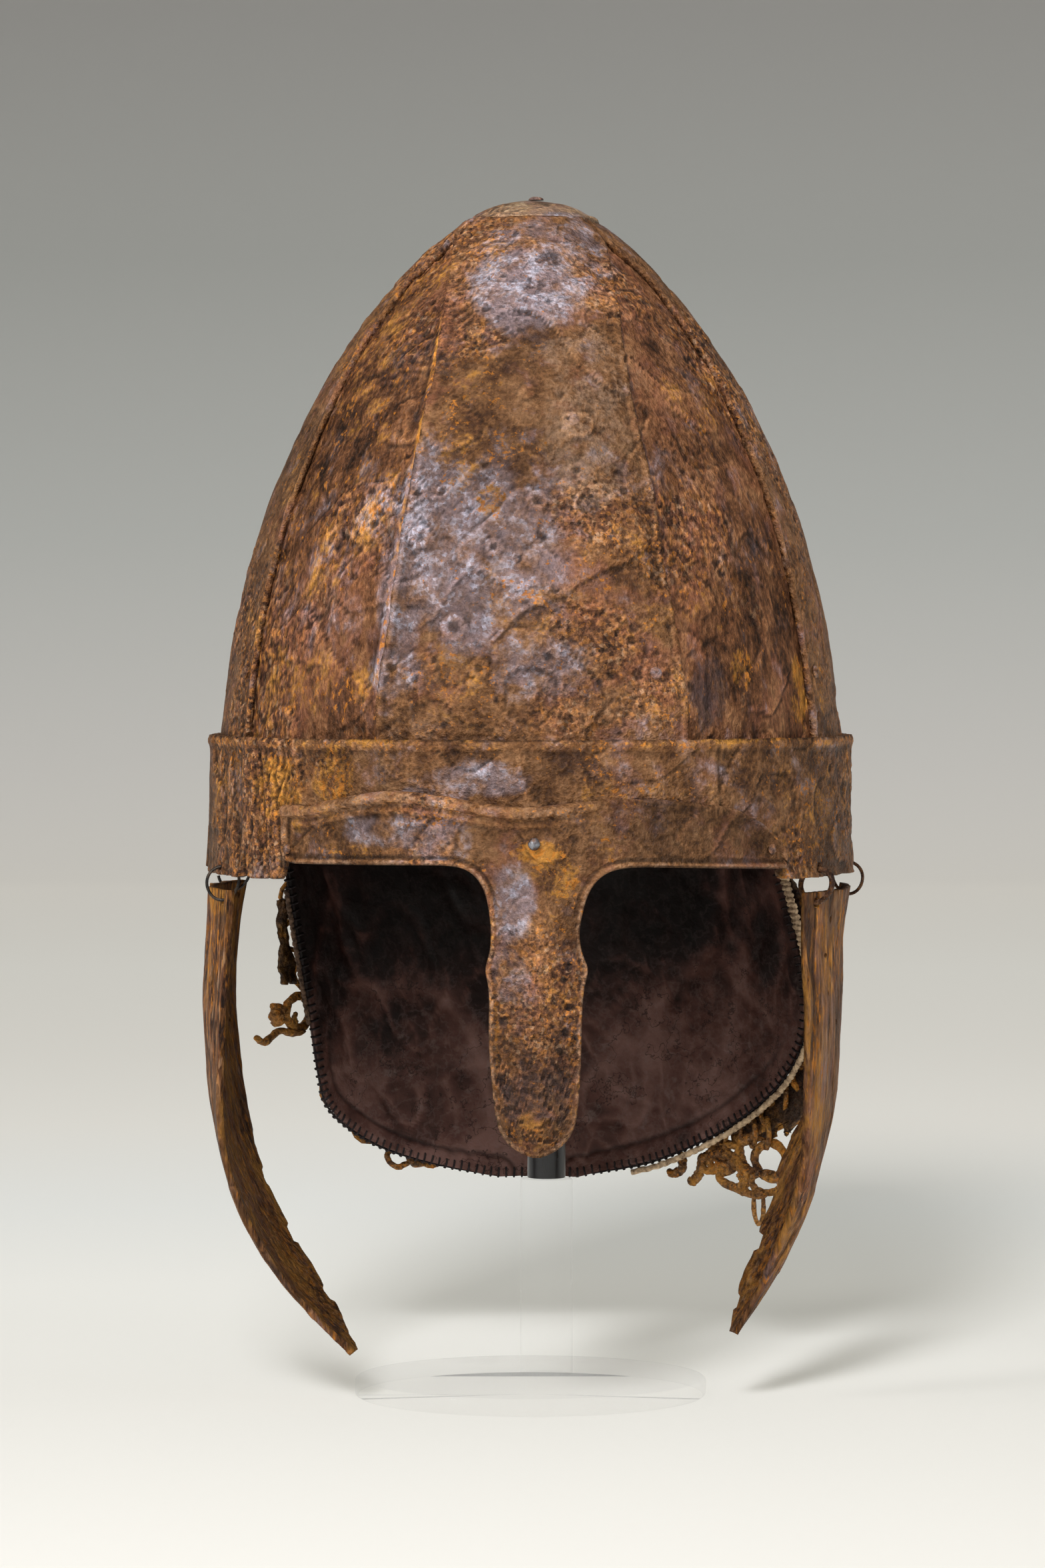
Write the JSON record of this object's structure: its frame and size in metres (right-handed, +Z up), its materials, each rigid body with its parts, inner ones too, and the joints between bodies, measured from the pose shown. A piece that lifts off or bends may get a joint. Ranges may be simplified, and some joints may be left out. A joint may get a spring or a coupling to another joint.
{
  "type": "norman helmet on display stand",
  "caption": "Rusted helmet of lapped iron plates with a brow band, nasal plate, swinging cheekpieces and a leather and mail neck curtain, on a plain post stand.",
  "frame": {"origin": "centre of the underside of the stand's round foot, on the surface that it stands on", "axes": "+Z up, -Y towards the helmet's front, +X towards the right as seen from the front"},
  "size_m": [0.2264, 0.2501, 0.4092],
  "materials": {
    "skull_iron": "wrought iron plate, rusted brown and orange, pitted and flaking, with patches of purple-grey metal",
    "under_plate_iron": "wrought iron plate, darker rust, flaking",
    "band_iron": "rusted iron with a yellow rust line along its raised edge",
    "brow_iron": "rusted iron, rubbed to a grey-brown sheen",
    "crown_plate": "pale worn iron with ochre rust",
    "bare_rivet": "bare iron, bluish grey",
    "cheek_iron": "laminated rust with a grain that runs lengthwise",
    "dark_wire": "dark wire, satin",
    "brown_loop": "flat rusted loop",
    "mail_iron": "ochre-brown rusted rings",
    "curtain_leather": "dark aubergine-brown leather, creased, matt",
    "edge_cord": "beige thread-wrapped cord",
    "black_post": "satin black",
    "pad_felt": "black felt",
    "clear_acrylic": "clear acrylic, polished"
  },
  "bodies": {
    "helmet": {"back_left_plate": "under_plate_iron", "back_plate": "skull_iron", "back_right_plate": "under_plate_iron", "brow_band": "band_iron", "brow_plate": "brow_iron", "brow_rivet_left": "bare_rivet", "brow_rivet_right": "bare_rivet", "crown_disc": "crown_plate", "crown_rivet": "bare_rivet", "edge_piping_right": "edge_cord", "front_left_plate": "under_plate_iron", "front_plate": "skull_iron", "front_right_plate": "under_plate_iron", "left_plate": "skull_iron", "loop_left_front": "dark_wire", "loop_left_rear": "dark_wire", "loop_right_front": "brown_loop", "loop_right_rear": "brown_loop", "mail_ring_01": "mail_iron", "mail_ring_02": "mail_iron", "mail_ring_03": "mail_iron", "mail_ring_04": "mail_iron", "mail_ring_05": "mail_iron", "mail_ring_06": "mail_iron", "mail_ring_07": "mail_iron", "mail_ring_08": "mail_iron", "mail_ring_09": "mail_iron", "mail_ring_10": "mail_iron", "mail_ring_11": "mail_iron", "mail_ring_12": "mail_iron", "mail_ring_13": "mail_iron", "mail_ring_14": "mail_iron", "mail_ring_15": "mail_iron", "mail_ring_16": "mail_iron", "mail_ring_17": "mail_iron", "mail_ring_18": "mail_iron", "mail_ring_19": "mail_iron", "mail_ring_20": "mail_iron", "mail_ring_21": "mail_iron", "nasal_rivet": "bare_rivet", "neck_curtain_leather": "curtain_leather", "neck_curtain_mail": "mail_iron", "right_plate": "skull_iron", "seam_rivet_1": "skull_iron", "seam_rivet_2": "skull_iron", "seam_rivet_3": "skull_iron", "seam_rivet_4": "skull_iron", "seam_rivet_5": "skull_iron", "seam_rivet_6": "skull_iron", "seam_rivet_7": "skull_iron", "seam_rivet_8": "skull_iron", "stand_foot": "clear_acrylic", "stand_pad": "pad_felt", "stand_post": "black_post", "stand_stem": "clear_acrylic", "whipped_edge_left": "edge_cord", "whipped_edge_right": "edge_cord"},
    "cheek_left": {"cheekpiece_left": "cheek_iron"},
    "cheek_right": {"cheekpiece_right": "cheek_iron"}
  },
  "joints": [
    {"name": "cheek_left_swing", "type": "hinge", "parent": "helmet", "child": "cheek_left", "pos_m": [-0.10302, 0, 0.1766], "axis": [0, 1, 0], "range_deg": [-3, 35]},
    {"name": "cheek_right_swing", "type": "hinge", "parent": "helmet", "child": "cheek_right", "pos_m": [0.10158, -0.02631, 0.1766], "axis": [-0.2093, -0.9779, 0], "range_deg": [-3, 35]}
  ]
}
